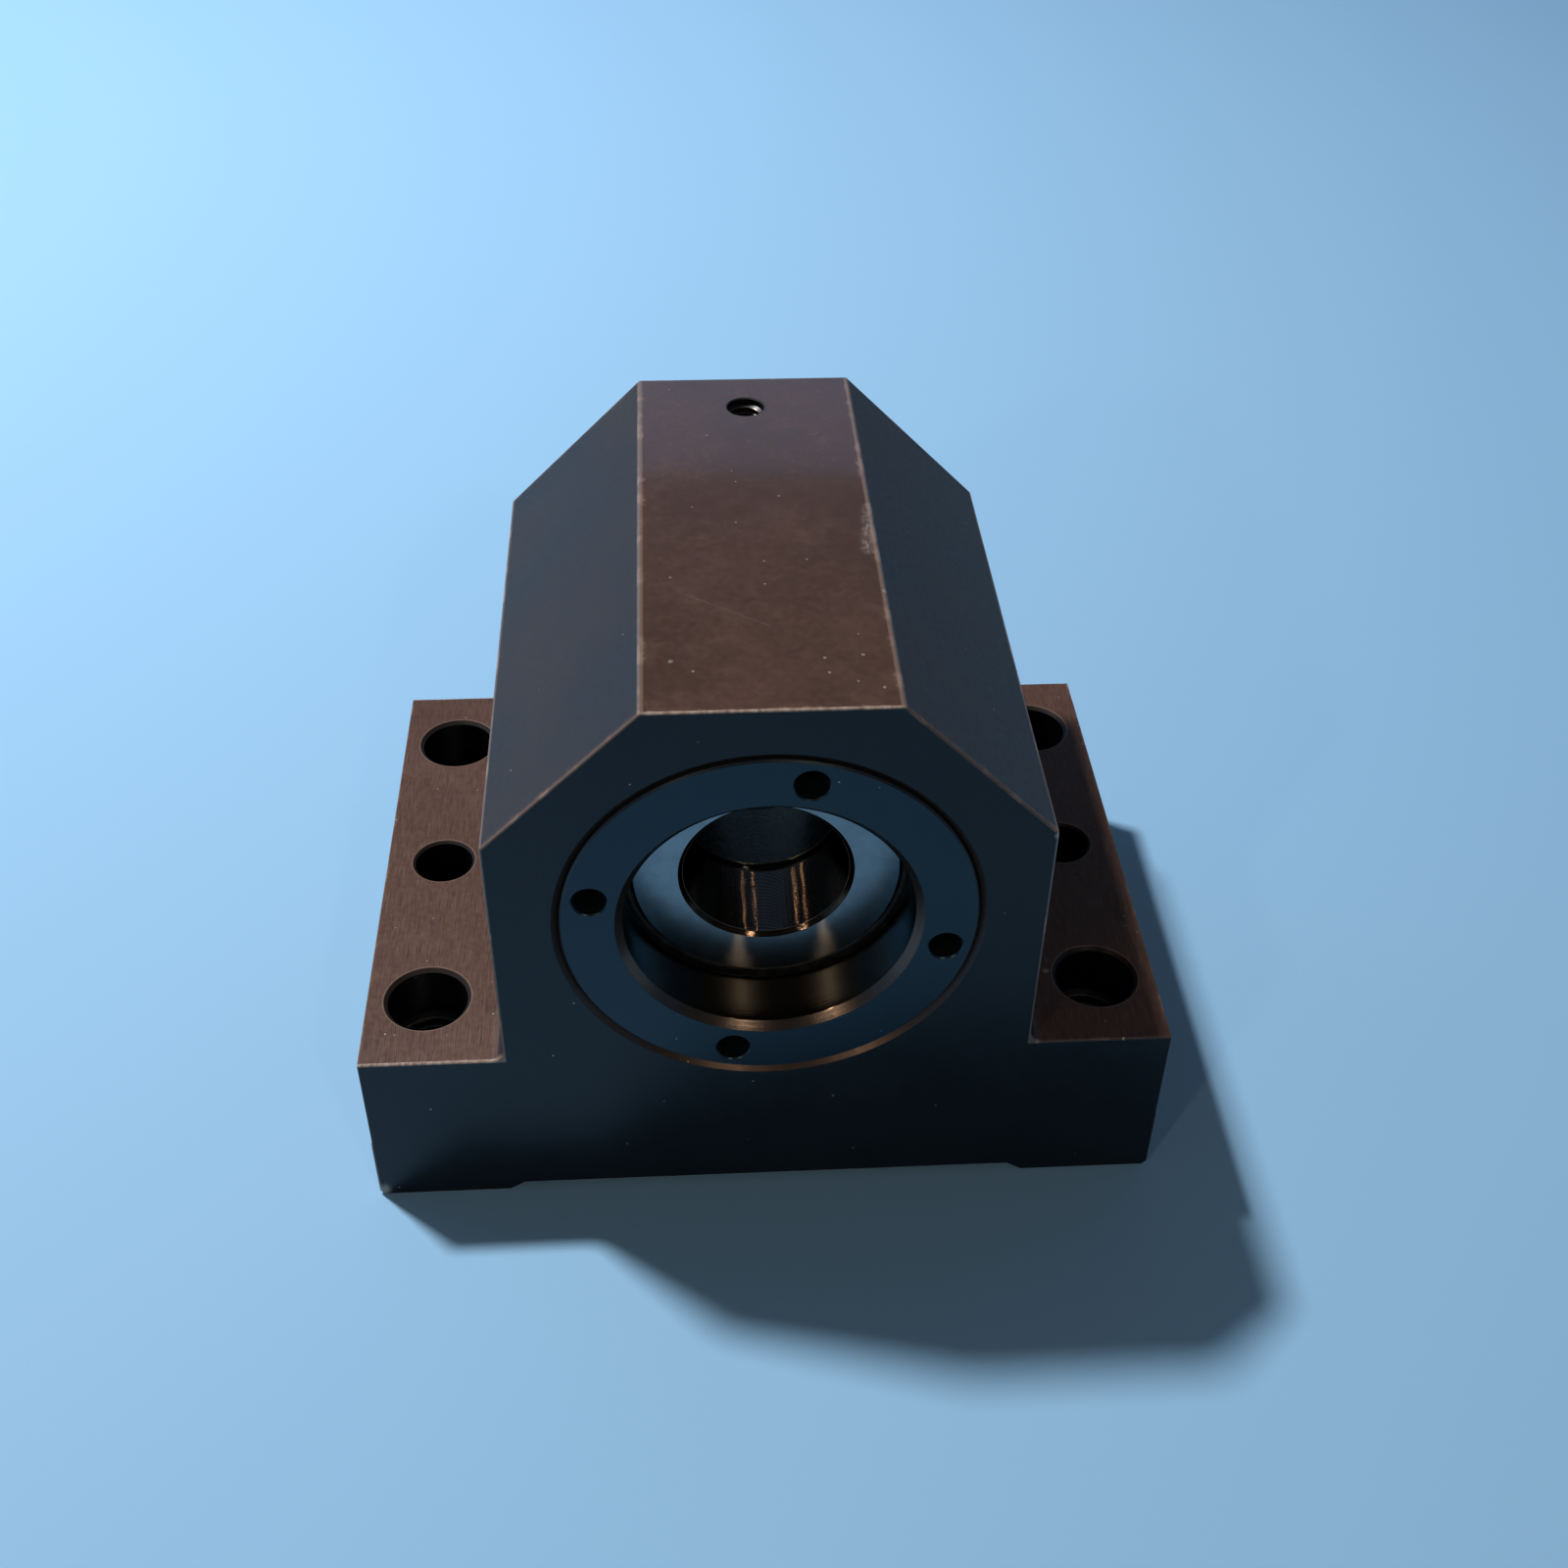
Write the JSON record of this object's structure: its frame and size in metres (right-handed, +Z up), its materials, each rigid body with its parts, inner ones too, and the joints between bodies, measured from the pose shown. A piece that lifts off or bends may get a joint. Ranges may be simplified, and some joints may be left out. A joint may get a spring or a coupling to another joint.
{
  "type": "pillow block bearing",
  "caption": "Steel pillow block with a flanged foot and cut upper corners; a threaded ring with spanner holes clamps the pair of ball bearings that carries a shaft end",
  "frame": {"origin": "under the middle of the foot, on the plane that it stands on", "axes": "+X across the foot, +Y along the shaft axis from the threaded ring's side to the rear, +Z up"},
  "size_m": [0.126, 0.0926, 0.097],
  "materials": {
    "black_oxide_block": "black oxide, satin, brown worn edges",
    "black_oxide_ring": "black oxide, smooth turned face",
    "bearing_steel": "bright ground",
    "ball_steel": "polished",
    "cage_polyamide": "moulded, matt",
    "seal_rubber": "moulded, matt black"
  },
  "bodies": {
    "block": {"housing": "black_oxide_block", "threaded_ring": "black_oxide_ring", "front_outer_ring": "bearing_steel", "rear_outer_ring": "bearing_steel", "front_seal": "seal_rubber", "rear_seal": "seal_rubber"},
    "inner_rings": {"front_inner_ring": "bearing_steel", "rear_inner_ring": "bearing_steel"},
    "front_row": {"front_cage": "cage_polyamide", "front_ball_01": "ball_steel", "front_ball_02": "ball_steel", "front_ball_03": "ball_steel", "front_ball_04": "ball_steel", "front_ball_05": "ball_steel", "front_ball_06": "ball_steel", "front_ball_07": "ball_steel", "front_ball_08": "ball_steel", "front_ball_09": "ball_steel", "front_ball_10": "ball_steel", "front_ball_11": "ball_steel", "front_ball_12": "ball_steel", "front_ball_13": "ball_steel", "front_ball_14": "ball_steel", "front_ball_15": "ball_steel", "front_ball_16": "ball_steel", "front_ball_17": "ball_steel", "front_ball_18": "ball_steel"},
    "rear_row": {"rear_cage": "cage_polyamide", "rear_ball_01": "ball_steel", "rear_ball_02": "ball_steel", "rear_ball_03": "ball_steel", "rear_ball_04": "ball_steel", "rear_ball_05": "ball_steel", "rear_ball_06": "ball_steel", "rear_ball_07": "ball_steel", "rear_ball_08": "ball_steel", "rear_ball_09": "ball_steel", "rear_ball_10": "ball_steel", "rear_ball_11": "ball_steel", "rear_ball_12": "ball_steel", "rear_ball_13": "ball_steel", "rear_ball_14": "ball_steel", "rear_ball_15": "ball_steel", "rear_ball_16": "ball_steel", "rear_ball_17": "ball_steel", "rear_ball_18": "ball_steel"}
  },
  "joints": [
    {"name": "shaft_spin", "type": "hinge", "parent": "block", "child": "inner_rings", "pos_m": [0, -0.02025, 0.058], "axis": [0, 1, 0], "continuous": true},
    {"name": "front_row_orbit", "type": "hinge", "parent": "block", "child": "front_row", "pos_m": [0, -0.02025, 0.058], "axis": [0, 1, 0], "continuous": true},
    {"name": "rear_row_orbit", "type": "hinge", "parent": "block", "child": "rear_row", "pos_m": [0, -0.02025, 0.058], "axis": [0, 1, 0], "continuous": true}
  ],
  "couplings": [
    {"joint": "front_row_orbit", "follows": "shaft_spin", "ratio": 0.4669},
    {"joint": "rear_row_orbit", "follows": "shaft_spin", "ratio": 0.4669}
  ]
}
